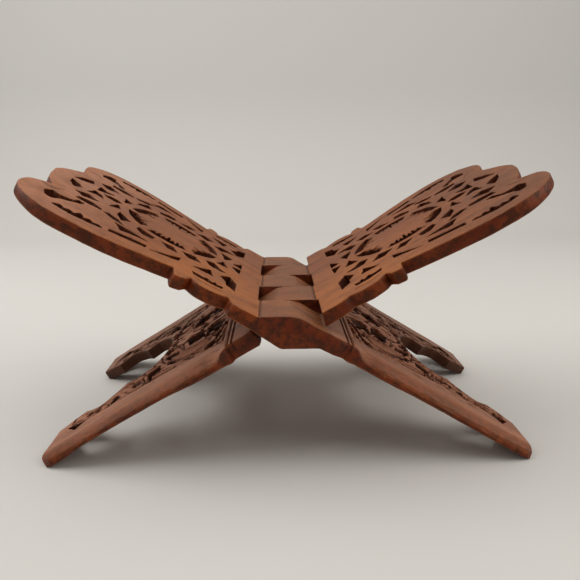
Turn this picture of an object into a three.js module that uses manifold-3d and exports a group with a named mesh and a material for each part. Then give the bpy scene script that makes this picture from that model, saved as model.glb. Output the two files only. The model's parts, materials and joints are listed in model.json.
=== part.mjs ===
// Folding book stand (rehal) cut from one wooden plank, millimetres, +Z up.
// Two identical-looking leaves pass through each other at five knuckles, like links of a chain, so the
// hinge has no pin. The stand is modelled open: the reading panels rise to the left and to the right,
// and each leaf's leg comes down on the opposite side.
// World frame: the hinge axis is parallel to Y, above the origin; Z = 0 is the table.
//
// Each leaf is first made flat in its own plank frame:
//   X = s, along the grain from the hinge axis, positive towards the reading panel
//   Y = v, across the plank
//   Z = n, through the thickness, from the mid-plane where the two leaves were sawn apart
import * as THREE from 'three';
import { mergeVertices } from 'three/addons/utils/BufferGeometryUtils.js';
import Module from 'manifold-3d';

// ---- driving dimensions ----
const plankWidth = 200;
const plankThickness = 24;
const lean = THREE.MathUtils.degToRad(30.2);   // slope of the panels and legs when open
const knuckleCount = 5;
const knuckleClearance = 0.4;                  // side gap between neighbouring knuckles
const contactClearance = 0.3;                  // gap left at each stop face
const leafBTrim = 6;                           // leaf B is planed narrower than leaf A on each edge

const panelTip = 190;                          // hinge axis to the tip of the middle lobe
const panelThickness = 9.2;
const sawnGap = 0.7;                           // reading face to the plank's mid-plane
const panelBlend = [20, 34];                   // hub thickness fades into the panel's between these

const legReach = 176.5;                        // hinge axis to the end of the foot
const legThicknessHub = 8.8;
const legThicknessFoot = 8.5;
const legInnerFoot = 0.3;                      // inner face to the mid-plane at the foot
const legInnerHub = 2.8;
const legRampEnd = 34;                         // the leg's inner face leaves the hub by here
const legSlopeStart = 44;                      // the leg's outer face starts to slope inwards here
const footFlat = 1.0;                          // depth worn off the foot's resting edge

const crestRounding = 7;                       // the knuckle's top crest is rounded this far each way
const heelRounding = 3.5;                      // and its lower corner this far
const roundingDrop = 0.4;                      // height that a rounding takes off a flat face

const grooveAt = [34.5, 38];                   // two grooves across the leg below the hub block
const grooveWidth = 1.6;
const grooveDepth = 1.6;

const medallion = { s: 94.5, radius: 35.5, inner: 0.84, tooth: 0.66 };

// ---- derived dimensions ----
const halfPlank = plankThickness / 2;
const halfWidth = plankWidth / 2;
const knuckleWidth = plankWidth / knuckleCount;
const knucklePoint = halfPlank / Math.tan(lean);
const hingeHeight = legReach * Math.sin(lean) - legInnerFoot * Math.cos(lean) - footFlat;
const cutReach = 400;                          // longer than any leaf, for through cuts

const leafAWood = new THREE.MeshStandardMaterial({ color: 0x9a5f3c, roughness: 0.55, metalness: 0 });
const leafBWood = new THREE.MeshStandardMaterial({ color: 0x93583a, roughness: 0.55, metalness: 0 });

const wasm = await Module();
wasm.setup();

// ---- solids ----
function toSolid(geometry) {
  geometry.deleteAttribute('normal');
  geometry.deleteAttribute('uv');
  const merged = mergeVertices(geometry, 1e-4);
  return new wasm.Manifold(new wasm.Mesh({
    numProp: 3,
    vertProperties: new Float32Array(merged.attributes.position.array),
    triVerts: new Uint32Array(merged.index.array),
  }));
}

function toMesh(name, solid, material) {
  const { vertProperties, triVerts } = solid.getMesh();
  const geometry = new THREE.BufferGeometry();
  geometry.setAttribute('position', new THREE.BufferAttribute(vertProperties, 3));
  geometry.setIndex(new THREE.BufferAttribute(triVerts, 1));
  geometry.computeVertexNormals();
  const mesh = new THREE.Mesh(geometry, material);
  mesh.name = name;
  return mesh;
}

function polygon(points) {
  return new THREE.Shape(points.map(([x, y]) => new THREE.Vector2(x, y)));
}

// A shape drawn in (s, v), cut right through the thickness.
function throughThickness(shape, segments = 3) {
  const geometry = new THREE.ExtrudeGeometry(shape, {
    depth: 3 * plankThickness, bevelEnabled: false, curveSegments: segments,
  });
  geometry.translate(0, 0, -1.5 * plankThickness);
  return toSolid(geometry);
}

// A side profile drawn in (s, n), carried across the plank from vLow to vHigh.
function acrossPlank(shape, vLow, vHigh) {
  const geometry = new THREE.ExtrudeGeometry(shape, {
    depth: vHigh - vLow, bevelEnabled: false, curveSegments: 4,
  });
  geometry.rotateX(Math.PI / 2);
  geometry.translate(0, vHigh, 0);
  return toSolid(geometry);
}

// ---- side profiles ----
// The other leaf's outer face, seen from this leaf when the stand is open, is the line
// s * sin(2 lean) + n * cos(2 lean) = +-halfPlank. Panel and leg ends stop just short of it.
function stopAt(n, side) {
  const reach = side * (halfPlank + contactClearance);
  return (reach - n * Math.cos(2 * lean)) / Math.sin(2 * lean);
}

const panelOuter = -(sawnGap + panelThickness);
const readingFaceStart = knucklePoint + 1.8;

const panelProfile = polygon([
  [readingFaceStart, -sawnGap],
  [panelTip + 1, -sawnGap],
  [panelTip + 1, panelOuter],
  [stopAt(panelOuter, 1), panelOuter],
]);

const legOuterFoot = legInnerFoot + legThicknessFoot;
const legOuterHub = legInnerHub + legThicknessHub;
const legProfile = polygon([
  [stopAt(halfPlank, -1), halfPlank],
  [-knucklePoint + 2, legInnerHub],
  [-legRampEnd, legInnerHub],
  [-legReach, legInnerFoot],
  [-legReach, legOuterFoot],
  [-legSlopeStart, legOuterHub],
]);

// A knuckle is as thick as the plank and joins the panel to the leg. Its two slanted faces lie flat
// when the stand is open.
function knuckleProfile() {
  const slope = halfPlank / knucklePoint;
  const [blendStart, blendEnd] = panelBlend;
  const shape = new THREE.Shape();
  shape.moveTo(blendEnd, -sawnGap);
  shape.lineTo(readingFaceStart, -sawnGap);
  shape.lineTo(knucklePoint, 0);
  shape.lineTo(crestRounding, halfPlank - crestRounding * slope);
  shape.quadraticCurveTo(0, halfPlank, -crestRounding, halfPlank - roundingDrop);
  shape.lineTo(stopAt(halfPlank, -1), halfPlank);
  shape.lineTo(-legSlopeStart, legOuterHub);
  shape.lineTo(-legSlopeStart, legInnerHub);
  shape.lineTo(-legRampEnd, legInnerHub);
  shape.lineTo(-knucklePoint, 0);
  shape.lineTo(-heelRounding, -halfPlank + heelRounding * slope);
  shape.quadraticCurveTo(0, -halfPlank, heelRounding, -halfPlank + roundingDrop);
  shape.lineTo(blendStart, panelOuter - roundingDrop);
  shape.lineTo(blendEnd, panelOuter);
  return shape;
}

// ---- outlines, drawn for one half (v >= 0) and mirrored about the plank's centre line ----
function mirrored(path) {
  const upper = path.getPoints(3);
  const lower = upper.slice().reverse().map((p) => new THREE.Vector2(p.x, -p.y));
  const points = upper.concat(lower).filter((p, i, all) => i === 0 || p.distanceTo(all[i - 1]) > 0.01);
  if (points[0].distanceTo(points[points.length - 1]) < 0.01) points.pop();
  return new THREE.Shape(points);
}

function through(path, points) {
  path.splineThru(points.map(([x, y]) => new THREE.Vector2(x, y)));
}

function leafOutline(hubHalf) {
  const path = new THREE.Path();
  const legShoulder = Math.min(halfWidth - 3, hubHalf);
  path.moveTo(-legReach, 52);
  path.lineTo(-legReach, 91);
  through(path, [[-175.5, 94], [-172, 95.8], [-150, 96.5], [-110, 96], [-70, 97.5], [-42, 99]]);
  path.lineTo(-39.5, 99);
  path.lineTo(-37, legShoulder);
  path.lineTo(-30, hubHalf);
  path.lineTo(30, hubHalf);
  through(path, [[36, hubHalf - 1.5], [39.5, 90]]);
  through(path, [[45, 92.5], [53.5, 94], [62, 92], [67, 86.5]]);
  through(path, [[70, 90.5], [75, 91.5], [80, 90.5], [82.5, 81.5]]);
  through(path, [[96, 88], [112, 94], [128, 98.5], [144, 100], [158, 97.5],
    [172, 89.5], [181, 78], [186, 65], [184, 53], [176.5, 42]]);
  through(path, [[182, 29], [187.5, 14], [panelTip, 0]]);
  return mirrored(path);
}

// The arch between the two feet: a round top lobe and a wider lower lobe on each side.
function legArch() {
  const path = new THREE.Path();
  path.moveTo(-legReach - 20, 60);
  path.lineTo(-legReach - 1, 53);
  through(path, [[-167, 50], [-158, 46]]);
  through(path, [[-152, 51.5], [-145, 54], [-135, 47], [-126.5, 36]]);
  through(path, [[-117, 41], [-107, 34], [-100, 20], [-96, 0]]);
  return mirrored(path);
}

// ---- fretwork: pierced motifs, drawn at v > 0 and repeated at v < 0 ----
const panelMotifs = {
  collarScroll: [[39.5, 69.5], [39.5, 49], [45, 40.5], [50.3, 50], [46, 57], [45.6, 64]],
  collarTooth: [[39, 2.5], [45.3, 5], [39.3, 18]],
  innerTooth: [[48.7, 18.5], [57, 20.5], [52.7, 5]],
  edgeSlot: [[48, 74.5], [57, 73], [67.5, 72.5], [66, 77], [55, 79.5], [48.5, 79]],
  collarLeaf: [[56, 60.5], [69, 60.5], [58.5, 49.5]],
  spandrel: [[79.5, 57.5], [79.5, 66], [95.5, 75]],
  straightSlot: [[100.5, 69], [100.5, 75], [123.5, 83], [124, 77.5]],
  combSlot: [[127.5, 83], [143, 87], [159, 84.5], [158.5, 80], [151, 78], [147, 80.5], [141, 76.5],
    [136, 80], [127.5, 77.5]],
  lobeLeaf: [[151, 54], [154, 53], [158.5, 58.5], [165, 60], [170.5, 62], [169, 71], [164.5, 76],
    [160.5, 71], [157, 65.5], [152.5, 61]],
  lobeTriangle: [[102, 60], [126, 58.5], [119, 69.5]],
  waveSlot: [[122, 53.5], [130, 50.5], [138, 45.5], [147, 46], [155.5, 47], [155.5, 42.5],
    [147, 40.5], [137, 40], [129, 46]],
  tipDiamond: [[146.5, 29], [155.5, 24], [162.5, 31], [156, 36.5]],
  tipHorn: [[147.5, 14.5], [153, 12.5], [159, 17], [157, 3], [151, 7]],
  tipLeaf: [[175, 3.5], [173, 13], [167, 22.5], [164, 14], [168.5, 7.5]],
  thorn: [[133.5, 18], [140, 24.5], [137.5, 8]],
  wreathLeaf1: [[121, 36], [125.5, 43.5], [130.5, 34], [131, 26]],
  wreathLeaf2: [[102, 43.5], [103, 49.8], [108.5, 50], [114.5, 43.5], [113.5, 38.5]],
  wreathLeaf3: [[84, 49.5], [90, 50.5], [96.5, 43.5], [88, 42]],
  wreathLeaf4: [[67, 43.5], [75, 47], [81.5, 40], [72, 36]],
  wreathLeaf5: [[48, 35.5], [54, 33], [58.5, 26.5], [64, 30.5], [59.5, 38], [52, 38.5]],
};
const axisLens = [[137, 0], [140.5, 4], [147, 4], [151, 0], [147, -4], [140.5, -4]];

const legMotifs = {
  footLeaf: [[-168, 64], [-149, 67.5], [-158, 78]],
  cuspTriangle: [[-132, 56], [-125, 64], [-133, 68]],
  archLeaf: [[-106, 48], [-98, 44], [-96, 54], [-103, 60]],
  longLeaf: [[-90, 46], [-82, 56], [-70, 62], [-80, 62], [-88, 56]],
  bandLeaf1: [[-95, 28], [-84, 33], [-82, 42], [-92, 39]],
  bandLeaf2: [[-78, 14], [-66, 12], [-63, 33], [-73, 37]],
  bandLeaf3: [[-60, 16], [-50, 20], [-50, 36], [-58, 33]],
};

function flipped(points) {
  return points.map(([s, v]) => [s, -v]);
}

function medallionHole(angle) {
  const { s, radius, inner, tooth } = medallion;
  const spread = THREE.MathUtils.degToRad(26);
  const at = (offset, r) => [s + r * radius * Math.cos(angle + offset), r * radius * Math.sin(angle + offset)];
  const arc = [-1, -0.5, 0, 0.5, 1].map((k) => at(k * spread, 1));
  const edge = [[0.75, inner + 0.06], [0.4, inner], [0.15, inner], [0, tooth]];
  const back = edge.map(([k, r]) => at(k * spread, r));
  const forth = edge.slice(0, -1).reverse().map(([k, r]) => at(-k * spread, r));
  return arc.concat(back, forth);
}

function fretwork() {
  const outlines = [axisLens];
  for (const points of [...Object.values(panelMotifs), ...Object.values(legMotifs)]) {
    outlines.push(points, flipped(points));
  }
  for (let k = 0; k < 6; k += 1) outlines.push(medallionHole((k + 0.5) * Math.PI / 3));
  return outlines.map((points) => throughThickness(polygon(points)));
}

// ---- leaf ----
function groove(at) {
  const shape = polygon([
    [-at - grooveWidth / 2, halfPlank + 2],
    [-at - grooveWidth / 2, halfPlank - grooveDepth],
    [-at + grooveWidth / 2, halfPlank - grooveDepth],
    [-at + grooveWidth / 2, halfPlank + 2],
  ]);
  return acrossPlank(shape, -halfWidth - 1, halfWidth + 1);
}

// Everything below the table top, seen from the plank frame of an open leaf.
function belowTable() {
  const geometry = new THREE.BoxGeometry(cutReach, cutReach, cutReach);
  geometry.translate(0, 0, -hingeHeight - cutReach / 2);
  geometry.rotateY(lean);
  return toSolid(geometry);
}

function leaf(knuckles, hubHalf) {
  let solid = acrossPlank(panelProfile, -halfWidth, halfWidth);
  solid = solid.add(acrossPlank(legProfile, -halfWidth, halfWidth));
  for (const index of knuckles) {
    const vLow = -halfWidth + index * knuckleWidth;
    const lowGap = index === 0 ? 0 : knuckleClearance / 2;
    const highGap = index === knuckleCount - 1 ? 0 : knuckleClearance / 2;
    solid = solid.add(acrossPlank(knuckleProfile(), vLow + lowGap, vLow + knuckleWidth - highGap));
  }
  solid = solid.intersect(throughThickness(leafOutline(hubHalf)));
  solid = solid.subtract(throughThickness(legArch()));
  for (const hole of fretwork()) solid = solid.subtract(hole);
  for (const at of grooveAt) solid = solid.subtract(groove(at));
  return solid.subtract(belowTable());
}

const leafA = toMesh('leaf_a', leaf([0, 2, 4], halfWidth), leafAWood);
const leafB = toMesh('leaf_b', leaf([1, 3], halfWidth - leafBTrim), leafBWood);

// Opened to the stop, leaf B rises to the right and leaf A, turned half a turn, to the left.
const stand = new THREE.Group();
const openLeft = new THREE.Group();
openLeft.rotation.z = Math.PI;
for (const [mesh, parent] of [[leafA, openLeft], [leafB, stand]]) {
  mesh.rotation.y = -lean;
  mesh.position.z = hingeHeight;
  parent.add(mesh);
}
stand.add(openLeft);

export default stand;
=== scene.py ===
import json
import math

import bpy
import numpy as np
from mathutils import Matrix, Vector


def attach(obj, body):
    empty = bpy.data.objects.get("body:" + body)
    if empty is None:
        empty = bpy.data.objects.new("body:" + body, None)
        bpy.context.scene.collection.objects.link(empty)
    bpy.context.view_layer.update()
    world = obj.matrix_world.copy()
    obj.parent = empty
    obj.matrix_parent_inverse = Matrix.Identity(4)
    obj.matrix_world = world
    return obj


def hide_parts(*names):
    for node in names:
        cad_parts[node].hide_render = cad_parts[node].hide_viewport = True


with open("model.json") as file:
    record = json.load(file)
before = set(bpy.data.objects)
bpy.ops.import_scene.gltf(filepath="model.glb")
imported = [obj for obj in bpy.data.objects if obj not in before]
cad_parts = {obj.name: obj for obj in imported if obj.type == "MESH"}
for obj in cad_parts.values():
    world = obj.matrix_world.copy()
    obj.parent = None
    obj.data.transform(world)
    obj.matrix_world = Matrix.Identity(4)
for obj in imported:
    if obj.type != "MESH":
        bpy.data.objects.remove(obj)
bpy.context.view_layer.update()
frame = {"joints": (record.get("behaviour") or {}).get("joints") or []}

MM = 0.001

# ---- the plank and its leaves, mm ----
# Each leaf has knuckles in its own bands of v. Between them its panel and leg stop short, at edges that
# lean, and leave windows for the other leaf's knuckles. REACH is the length of the leg.
HALF_PLANK = 12.0
LEAN = math.radians(30.2)
KNUCKLE_GAP = 0.2
READING_N = -0.7
PANEL_OUTER_N = -9.9
PANEL_EDGE_TOP = 22.4
PANEL_EDGE_BOTTOM = 19.8
LEG_EDGE_TOP = -20.95
LEG_EDGE_BOTTOM = -18.6
LEG_INNER_HUB = 2.8
NEAR_REACH = {"leaf_a": 177.0, "leaf_b": 179.0}
FAR_REACH = 176.5
KNUCKLE_POINT = HALF_PLANK / math.tan(LEAN)
HINGE_HEIGHT = frame["joints"][0]["pos_m"][2] / MM
HUB_HALF = {"leaf_a": 100.0, "leaf_b": 94.0}
NEAR_SIDE = {"leaf_a": 1, "leaf_b": -1}
KNUCKLE_BORDERS = (20.0, 60.0)
OWN_BANDS = {
    "leaf_a": [(-101.0, -60.0), (-20.0, 20.0), (60.0, 101.0)],
    "leaf_b": [(-60.0, -20.0), (20.0, 60.0)],
}

# ---- how age and handling have changed each leaf, mm ----
# The far edges rise by less than the gap between the folded panels, so that the panels never meet.
LEG_THINNED = {"leaf_a": 0.2, "leaf_b": 1.9}
TWIST = {
    "leaf_a": {"near_edge": 3.1, "near_lobe": 0.8, "far_edge": 0.9},
    "leaf_b": {"near_edge": 0.0, "near_lobe": 0.5, "far_edge": 0.3},
}

# ---- grid the leaves are drawn on, mm ----
STEP = 0.62
S_AXIS = np.arange(-180.0, 193.0, STEP)
V_AXIS = np.arange(-102.4, 103.0, STEP)
S, V = np.meshgrid(S_AXIS, V_AXIS, indexing="ij")
FAR_OFF = 9.0  # distances further than this are not told apart
FACES_KEPT = 0.345
SHARP_ANGLE = math.radians(42)


# ---------------------------------------------------------------- curves and fields
def spline(points, closed=False, per=5):
    """Points along a smooth curve through the given ones."""
    p = np.array(points, float)
    if closed:
        ends = np.vstack([p[-1:], p, p[:2]])
    else:
        ends = np.vstack([p[:1], p, p[-1:]])
    t = np.linspace(0, 1, per, endpoint=False)[:, None]
    parts = []
    for a, b, c, d in zip(ends[:-3], ends[1:-2], ends[2:-1], ends[3:]):
        bend = (2 * a - 5 * b + 4 * c - d) * t ** 2 + (3 * b - a - 3 * c + d) * t ** 3
        parts.append(0.5 * (2 * b + (c - a) * t + bend))
    if not closed:
        parts.append(p[-1:])
    return np.vstack(parts)


def mirrored(half):
    """A closed outline from its v >= 0 half, which starts and ends on the centre line or at an end."""
    half = np.asarray(half, float)
    return np.vstack([half, (half * [1, -1])[::-1]])


def soft_noise(seed, length, stretch=1.0):
    """A smooth random field over the grid, spread 1, with features of that length in mm."""
    raw = np.random.RandomState(seed).standard_normal(S.shape)
    fs = np.fft.fftfreq(S.shape[0], STEP)[:, None] * length * stretch
    fv = np.fft.fftfreq(S.shape[1], STEP)[None, :] * length
    field = np.fft.ifft2(np.fft.fft2(raw) * np.exp(-2 * (fs ** 2 + fv ** 2))).real
    return field / field.std()


def inside_distance(points, s, v):
    """Distance in mm from each (s, v) to a closed outline, positive inside it."""
    p = np.asarray(points, float)
    nearest = np.full(s.shape, np.inf)
    inside = np.zeros(s.shape, bool)
    for (as_, av), (bs, bv) in zip(p, np.roll(p, -1, axis=0)):
        ds, dv = bs - as_, bv - av
        if ds == 0 and dv == 0:
            continue
        t = np.clip(((s - as_) * ds + (v - av) * dv) / (ds * ds + dv * dv), 0, 1)
        nearest = np.minimum(nearest, (s - as_ - t * ds) ** 2 + (v - av - t * dv) ** 2)
        if dv != 0:
            inside ^= ((av > v) != (bv > v)) & (s < as_ + ds * (v - av) / dv)
    return np.where(inside, 1, -1) * np.sqrt(nearest)


def local_distance(points, s, v, reach=FAR_OFF):
    """inside_distance near a small outline, and -reach further away."""
    p = np.asarray(points, float)
    out = np.full(S.shape, -reach)
    i0, i1 = np.searchsorted(S_AXIS, [p[:, 0].min() - reach, p[:, 0].max() + reach])
    j0, j1 = np.searchsorted(V_AXIS, [p[:, 1].min() - reach, p[:, 1].max() + reach])
    part = (slice(i0, i1), slice(j0, j1))
    out[part] = np.maximum(inside_distance(p, s[part], v[part]), -reach)
    return out


def line_distance(points, s, v, reach=FAR_OFF):
    """Distance in mm to an open curve, up to reach."""
    p = spline(points)
    out = np.full(S.shape, reach)
    i0, i1 = np.searchsorted(S_AXIS, [p[:, 0].min() - reach, p[:, 0].max() + reach])
    j0, j1 = np.searchsorted(V_AXIS, [p[:, 1].min() - reach, p[:, 1].max() + reach])
    part = (slice(i0, i1), slice(j0, j1))
    near = np.full(s[part].shape, reach ** 2)
    for (as_, av), (bs, bv) in zip(p[:-1], p[1:]):
        ds, dv = bs - as_, bv - av
        t = np.clip(((s[part] - as_) * ds + (v[part] - av) * dv) / (ds * ds + dv * dv), 0, 1)
        near = np.minimum(near, (s[part] - as_ - t * ds) ** 2 + (v[part] - av - t * dv) ** 2)
    out[part] = np.sqrt(near)
    return out


def ease(x, low, high):
    """0 below low, 1 above high, smooth between."""
    t = np.clip((x - low) / (high - low), 0, 1)
    return t * t * (3 - 2 * t)


def rounding(distance, radius, depth=None):
    """How far a face drops near an edge that is rounded over that radius."""
    d = np.clip(distance, 0, radius)
    fall = radius - np.sqrt(np.maximum(radius ** 2 - (radius - d) ** 2, 0))
    return fall * ((depth or radius) / radius)


def sample(field, s, v):
    """The field's values at points (s, v), linear between grid points."""
    x = np.clip((s - S_AXIS[0]) / STEP, 0, len(S_AXIS) - 1.001)
    y = np.clip((v - V_AXIS[0]) / STEP, 0, len(V_AXIS) - 1.001)
    i, j = x.astype(int), y.astype(int)
    x, y = x - i, y - j
    low = field[i, j] * (1 - y) + field[i, j + 1] * y
    high = field[i + 1, j] * (1 - y) + field[i + 1, j + 1] * y
    return low * (1 - x) + high * x


# ---------------------------------------------------------------- drawings
LEG_SIDE = [(-178, 94), (-173, 97.8), (-150, 99), (-110, 98.2), (-70, 99.2), (-42, 99.8)]
LEG_SIDE_S, LEG_SIDE_V = zip(*LEG_SIDE)
NEAR_LOBES = [
    [(96, 88.5), (112, 94.5), (128, 98), (144, 98.8), (158, 97), (172, 90), (181.5, 79), (185.8, 67),
     (184.5, 55), (174, 45.5)],
    [(180.5, 33), (186.5, 16), (189.4, 0)],
]
FAR_LOBES = [
    [(96, 88.5), (112, 94), (128, 98.5), (144, 99.6), (158, 98), (172, 91), (181, 79), (185, 66),
     (183.5, 52), (178, 38.5)],
    [(182, 28), (187.2, 14), (189.4, 0)],
]


def outline_half(hub_half, lobes, reach):
    """Half of a leaf's edge, from the foot along leg, hub, collar and nub to the panel's lobes."""
    shoulder = min(97.0, hub_half)
    collar = spline([(38, hub_half - 1.5), (41.8, 89.5)])
    nub_low = spline([(46.5, 92), (54, 93), (61.5, 90.8), (66.5, 86.2)])
    nub = spline([(69, 92.5), (74, 94.5), (76.3, 93), (78.4, 82.5)])
    parts = [[(-reach, 52), (-reach, 91)], spline(LEG_SIDE), [(-39.5, 99), (-37, shoulder)],
             [(-30, hub_half), (32, hub_half)], collar, nub_low, nub] + [spline(c) for c in lobes]
    return np.vstack(parts)


def leaf_outline(name):
    """The leaf's edge. The lobes of the half nearest the viewer are a little fuller than the others."""
    near = outline_half(HUB_HALF[name], NEAR_LOBES, NEAR_REACH[name])
    far = outline_half(HUB_HALF[name], FAR_LOBES, FAR_REACH)
    side = NEAR_SIDE[name]
    return np.vstack([near * [1, side], (far * [1, -side])[::-1]])


def leg_arch():
    """The opening between the two feet, with a cusp on each side."""
    foot = spline([(-168, 50), (-158, 46)])
    low = spline([(-152, 51.5), (-145, 54), (-135, 47), (-126.5, 36)])
    top = spline([(-117, 41), (-107, 34), (-100, 20), (-96, 0)])
    return mirrored(np.vstack([[(-196.5, 64), (-179, 56)], foot, low, top]))


PANEL_CUTS = {
    "collar_scroll": [(39.5, 69.5), (39.5, 49), (45, 40.5), (50.3, 50), (46, 57), (45.6, 64)],
    "collar_tooth": [(39, 2.5), (45.3, 5), (39.3, 18)],
    "inner_tooth": [(48.7, 18.5), (57, 20.5), (52.7, 5)],
    "edge_slot": [(48, 74.5), (51.5, 75.8), (53, 72.8), (54.5, 75.5), (58.5, 71.8), (60.5, 74.2),
                  (67.5, 72.5), (66, 77), (55, 79.5), (48.5, 79)],
    "collar_leaf": [(56, 60.5), (69, 60.5), (58.5, 49.5)],
    "spandrel": [(79.5, 57.5), (79.5, 65), (97, 74.5)],
    "straight_slot": [(101, 70), (101, 74.5), (123.5, 81.5), (124, 77)],
    "lobe_leaf": [(150, 53), (153.5, 52), (155, 57), (159, 59.5), (164, 60.5), (169, 59), (171, 65),
                  (167.5, 73), (163.5, 74), (161.5, 67.5), (157.5, 64.5), (154.5, 60.5), (151.5, 57.5)],
    "lobe_triangle": [(102, 60.5), (126, 57), (119.5, 67)],
    "wave_slot": [(121, 54), (129, 52), (137, 46.8), (134, 44), (127, 47)],
    "wave_leaf": [(139.5, 46), (148, 48), (157, 47.5), (156, 42), (148, 40), (140.5, 42.5)],
    "tip_diamond": [(146.5, 29), (155.5, 24), (162.5, 31), (156, 36.5)],
    "tip_horn": [(147.5, 14.5), (153, 12.5), (159, 17), (157, 3), (151, 7)],
    "tip_leaf": [(175, 3.5), (173, 13), (167, 22.5), (164, 14), (168.5, 7.5)],
    "thorn": [(133.5, 18), (140, 24.5), (137.5, 8)],
    "wreath_1": [(121, 36), (125.5, 43.5), (130.5, 34), (131, 26)],
    "wreath_2": [(102, 43.5), (103, 49.8), (108.5, 50), (114.5, 43.5), (113.5, 38.5)],
    "wreath_3": [(84, 49.5), (90, 50.5), (96.5, 43.5), (88, 42)],
    "wreath_4": [(67, 43.5), (75, 47), (81.5, 40), (72, 36)],
    "wreath_5": [(48, 35.5), (54, 33), (58.5, 26.5), (64, 30.5), (59.5, 38), (52, 38.5)],
}
AXIS_LENS = [(137, 0), (140.5, 4), (147, 4), (151, 0), (147, -4), (140.5, -4)]
LEG_CUTS = {
    "foot_leaf": [(-168, 64), (-149, 67.5), (-158, 78)],
    "cusp_triangle": [(-132, 56), (-125, 64), (-133, 68)],
    "arch_leaf": [(-106, 48), (-98, 44), (-96, 54), (-103, 60)],
    "long_leaf": [(-90, 46), (-82, 56), (-70, 62), (-80, 62), (-88, 56)],
    "band_leaf_1": [(-95, 28), (-84, 33), (-82, 42), (-92, 39)],
    "band_leaf_2": [(-78, 14), (-66, 12), (-63, 33), (-73, 37)],
    "band_leaf_3": [(-60, 16), (-50, 20), (-50, 36), (-58, 33)],
}
COMB_SLOT = {"start": 127.5, "end": 159.0, "low": 80.8, "tooth": 5.2, "teeth": [0.5, 0.35, 1.0, 0.55, 0.3]}
MEDALLION = {"s": 94.5, "radius": 35.5, "inner": 0.87, "deepest": 0.24, "spread": 26.0,
             "teeth": [0.35, 0.6, 0.45, 1.0, 0.4, 0.65, 0.3]}
MEDALLION_CUTS = 6
CUT_WIDENING = 0.5
NEAR_SQUEEZE = 0.985
FAR_SPREAD = 1.006


def comb_slot():
    """A slot under the lobe's rim, with a comb of teeth along its lower edge."""
    c = COMB_SLOT
    rim = [(c["start"], 83), (134, 85.2), (143, 87), (152, 86.5), (c["end"], 84.5)]
    pitch = (c["end"] - c["start"]) / len(c["teeth"])
    comb = []
    for k, size in enumerate(c["teeth"]):
        at = c["end"] - (k + 0.5) * pitch
        comb += [(at + 0.42 * pitch, c["low"]), (at + 0.1 * pitch, c["low"] - c["tooth"] * size),
                 (at - 0.15 * pitch, c["low"] - c["tooth"] * size * 0.8), (at - 0.42 * pitch, c["low"])]
    return rim + comb


def medallion_cut(angle):
    """One of six openings round the medallion: a crescent with teeth along its inner edge."""
    m = MEDALLION
    spread = math.radians(m["spread"])

    def at(offset, r):
        a = angle + offset
        return m["s"] + r * m["radius"] * math.cos(a), r * m["radius"] * math.sin(a)

    outer = [at(k * spread, 1) for k in np.linspace(-1, 1, 9)]
    inner = [at(0.9 * spread, m["inner"] + 0.08)]
    for k, size in enumerate(m["teeth"]):
        off = 0.82 - 1.64 * k / (len(m["teeth"]) - 1)
        half = 0.82 / (len(m["teeth"]) - 1) * 0.85
        rest = m["inner"] - 0.05 * (1 - abs(off))
        deep = m["deepest"] * size
        inner += [at((off + half) * spread, rest), at((off + 0.3 * half) * spread, rest - deep),
                  at((off - 0.4 * half) * spread, rest - 0.8 * deep), at((off - half) * spread, rest)]
    inner.append(at(-0.9 * spread, m["inner"] + 0.08))
    return outer + inner


def widened(points):
    """A cut's outline moved outward, with its pointed ends kept sharp."""
    p = np.asarray(points, float)
    along = np.roll(p, -1, axis=0) - p
    turning = np.sum(p[:, 0] * np.roll(p[:, 1], -1) - p[:, 1] * np.roll(p[:, 0], -1))
    out = np.stack([along[:, 1], -along[:, 0]], axis=1) * np.sign(turning)
    out /= np.linalg.norm(out, axis=1, keepdims=True)
    both = out + np.roll(out, 1, axis=0)
    squared = np.sum(both ** 2, axis=1, keepdims=True)
    return p + both * (2 * CUT_WIDENING / np.maximum(squared, 1.0))


def all_cuts(near_side):
    """Every opening; those in the half nearest the viewer sit a touch further in."""
    half = [widened(points) for points in [*PANEL_CUTS.values(), *LEG_CUTS.values()]]
    half.append(np.array(comb_slot()))
    cuts = [widened(AXIS_LENS)]
    for shape in half:
        cuts += [shape * [1, NEAR_SQUEEZE * near_side], shape * [1, -FAR_SPREAD * near_side]]
    pitch = 2 * math.pi / MEDALLION_CUTS
    cuts += [np.array(medallion_cut((k + 0.5) * pitch)) for k in range(MEDALLION_CUTS)]
    return cuts


# ---------------------------------------------------------------- relief on the legs' outer faces
# Drawn for one half (v > 0) and repeated on the other.
FIELD_EDGE = [(-166, 60), (-160, 66), (-148, 69), (-132, 70), (-112, 69), (-92, 72), (-70, 75),
              (-52, 78), (-44, 79)]
HATCHED_LEAF = [(-93, 27), (-89, 41), (-80, 54), (-69, 62), (-59, 60), (-54, 50), (-55, 40),
                (-62, 43), (-70, 44), (-78, 38), (-82, 28), (-86, 22)]
CENTRAL_LEAF = [(-94, 0), (-91, 9), (-86, 16), (-80, 17), (-76, 11), (-68, 9), (-63, 0)]
SMALL_LEAVES = [
    [(-123, 57), (-114, 67), (-106, 66), (-110, 58)],
    [(-149, 61), (-142, 67), (-135, 66), (-139, 59)],
    [(-121, 46), (-112, 50), (-109, 44), (-114, 41)],
    [(-101, 62), (-92, 69), (-80, 70), (-90, 62)],
    [(-66, 67), (-56, 74), (-50, 70), (-57, 66)],
]
KNIFE_LINES = [
    [(-164, 58), (-156, 62), (-148, 58), (-140, 57), (-133, 51), (-125, 47), (-119, 52), (-112, 54)],
    [(-112, 54), (-105, 63), (-94, 71), (-80, 72), (-66, 74)],
    [(-99, 6), (-100, 20), (-97, 36), (-92, 46)],
    [(-110, 46), (-108, 56), (-101, 63)],
    [(-80, 20), (-80, 32), (-74, 42), (-66, 46)],
    [(-64, 40), (-58, 45), (-55, 52)],
    [(-130, 46), (-122, 44), (-114, 52)],
    [(-104, 12), (-105, 26), (-103, 38)],
]
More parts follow.
